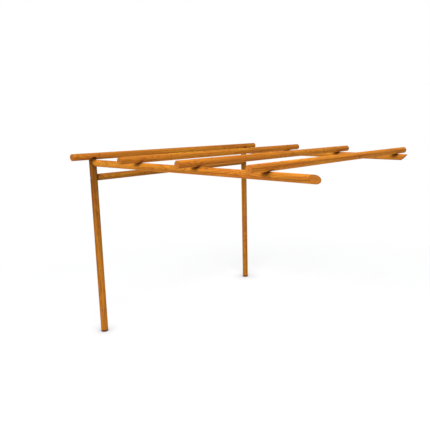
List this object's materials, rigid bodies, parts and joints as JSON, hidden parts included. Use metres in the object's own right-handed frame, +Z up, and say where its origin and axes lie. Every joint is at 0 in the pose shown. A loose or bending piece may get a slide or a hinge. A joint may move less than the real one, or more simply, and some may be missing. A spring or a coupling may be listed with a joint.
{
  "type": "pergola",
  "caption": "Lean-to pergola of round timber poles: two posts and a tie beam carry mitred rafters with purlins laid across on top.",
  "frame": {"origin": "centre of the left post's foot, on the ground", "axes": "+X from the left post to the right post, along the purlins; +Z up; the rafters run from the posts along -Y to their free ends"},
  "size_m": [3.96, 3.7275, 2.6395],
  "materials": {
    "pole_wood": "turned softwood under a honey-orange stain, satin",
    "screw_steel": "dull zinc-plated steel"
  },
  "bodies": {
    "root": {"left_post": "pole_wood", "right_post": "pole_wood", "tie_beam": "pole_wood", "left_rafter": "pole_wood", "right_rafter": "pole_wood", "back_purlin": "pole_wood", "second_purlin": "pole_wood", "third_purlin": "pole_wood", "front_purlin": "pole_wood", "left_post_head_screw": "screw_steel", "right_post_head_screw": "screw_steel", "left_rafter_screw": "screw_steel", "right_rafter_screw": "screw_steel", "left_tie_screw": "screw_steel", "right_tie_screw": "screw_steel", "second_purlin_left_screw": "screw_steel", "second_purlin_right_screw": "screw_steel", "third_purlin_left_screw": "screw_steel", "third_purlin_right_screw": "screw_steel", "front_purlin_left_screw": "screw_steel", "front_purlin_right_screw": "screw_steel"}
  },
  "joints": []
}
